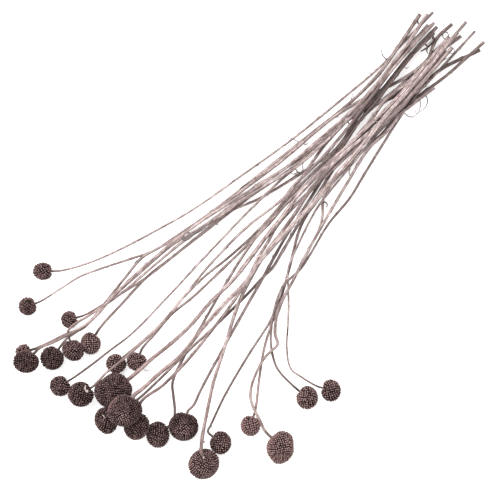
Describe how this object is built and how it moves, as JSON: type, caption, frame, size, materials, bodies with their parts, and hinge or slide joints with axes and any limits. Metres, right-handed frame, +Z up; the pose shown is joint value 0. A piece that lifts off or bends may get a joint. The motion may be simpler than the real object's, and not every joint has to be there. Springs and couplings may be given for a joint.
{
  "type": "dried billy buttons",
  "caption": "Loose bunch of dried billy buttons lying flat: round heads of tightly packed florets on long bare stems with cut ends, for a vase or a dried arrangement.",
  "frame": {"origin": "on the surface that the bunch lies on, under the middle of its outline seen from above", "axes": "+X along the bunch from the cut ends of its stems towards its flower heads, +Z up from the surface that it lies on"},
  "size_m": [0.5554, 0.3178, 0.0571],
  "materials": {
    "flower_head": "dry and matte, rough with florets",
    "stem": "dry and matte, ribbed, with patchy bark"
  },
  "bodies": {
    "root": {"head_01": "flower_head", "head_02": "flower_head", "head_03": "flower_head", "head_04": "flower_head", "head_05": "flower_head", "head_06": "flower_head", "head_07": "flower_head", "head_08": "flower_head", "head_09": "flower_head", "head_10": "flower_head", "head_11": "flower_head", "head_12": "flower_head", "head_13": "flower_head", "head_14": "flower_head", "head_15": "flower_head", "head_16": "flower_head", "head_17": "flower_head", "head_18": "flower_head", "head_19": "flower_head", "head_20": "flower_head", "head_21": "flower_head", "head_22": "flower_head", "head_23": "flower_head", "head_24": "flower_head", "stem_01": "stem", "stem_02": "stem", "stem_03": "stem", "stem_04": "stem", "stem_05": "stem", "stem_06": "stem", "stem_07": "stem", "stem_08": "stem", "stem_09": "stem", "stem_10": "stem", "stem_11": "stem", "stem_12": "stem", "stem_13": "stem", "stem_14": "stem", "stem_15": "stem", "stem_16": "stem", "stem_17": "stem", "stem_18": "stem", "stem_19": "stem", "stem_20": "stem", "stem_21": "stem", "stem_22": "stem", "stem_23": "stem", "stem_24": "stem"}
  },
  "joints": []
}
